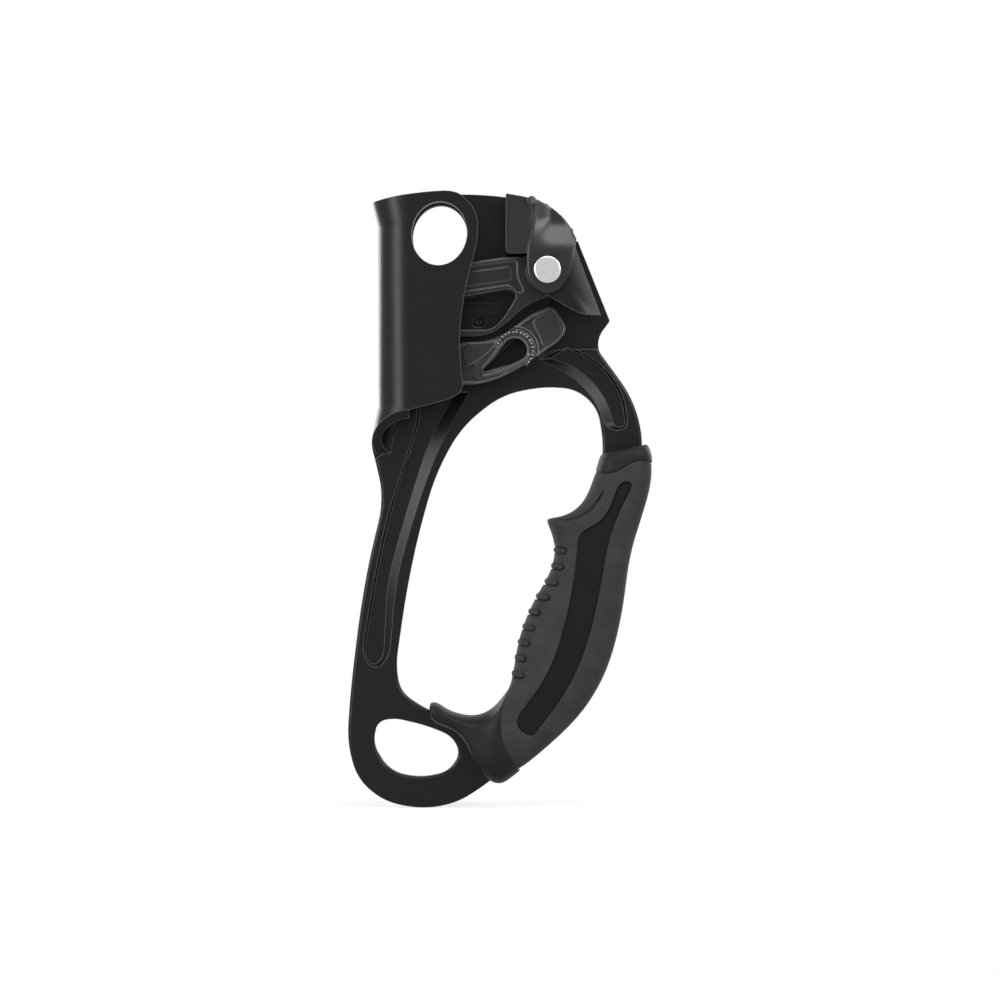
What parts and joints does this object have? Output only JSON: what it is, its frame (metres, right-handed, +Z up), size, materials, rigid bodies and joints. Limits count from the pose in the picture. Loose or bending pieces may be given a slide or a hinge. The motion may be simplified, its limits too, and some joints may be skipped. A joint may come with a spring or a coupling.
{
  "type": "handled ascender",
  "caption": "Handled rope ascender: folded metal frame with a rope channel, toothed sprung cam with a safety catch, ribbed cap and moulded hand grip.",
  "frame": {"origin": "on the rope channel's centreline, level with the cam's pivot", "axes": "+Z up along the rope, +X from the rope towards the cam's pivot and the grip, -Y out of the front"},
  "size_m": [0.0972, 0.03, 0.1956],
  "materials": {
    "anodised_frame": "black anodised aluminium, satin",
    "cap_moulding": "black moulded nylon",
    "steel_bright": "bright turned steel",
    "steel_washer": "steel washer",
    "bronze_bush": "sintered bronze bushing",
    "cast_cam": "investment-cast steel, dark grey, fine cast grain",
    "cast_catch": "cast catch, dark grey, fine cast grain",
    "spring_wire": "stainless spring wire",
    "core_plastic": "black hard plastic",
    "grip_rubber": "dark grey matt rubber",
    "pad_rubber": "dark grey matt rubber",
    "collar_plastic": "dark grey plastic",
    "guard_plastic": "black plastic"
  },
  "bodies": {
    "frame_body": {"frame": "anodised_frame", "top_grip": "cap_moulding", "cam_rivet": "steel_bright", "rivet_washer": "steel_washer", "cam_bushing": "bronze_bush", "front_washer": "steel_washer", "rear_washer": "steel_washer", "grip_core": "core_plastic", "grip_overmould": "grip_rubber", "grip_front_pad": "pad_rubber", "grip_upper_collar": "collar_plastic", "finger_guard": "guard_plastic"},
    "cam_body": {"cam": "cast_cam", "cam_spring": "spring_wire", "catch_pin": "steel_bright", "catch_spring": "spring_wire"},
    "catch_body": {"safety_catch": "cast_catch"}
  },
  "joints": [
    {"name": "cam_pivot", "type": "hinge", "parent": "frame_body", "child": "cam_body", "pos_m": [0.0435, 0, 0], "axis": [0, -1, 0], "range_deg": [0, 62], "stiffness_Nm_per_rad": 0.05, "springref_deg": -57.3, "deforming": ["cam_spring"]},
    {"name": "catch_pivot", "type": "hinge", "parent": "cam_body", "child": "catch_body", "pos_m": [0.0125, 0, -0.0305], "axis": [0, 1, 0], "range_deg": [0, 14], "stiffness_Nm_per_rad": 0.01, "springref_deg": -57.3, "deforming": ["catch_spring"]}
  ]
}
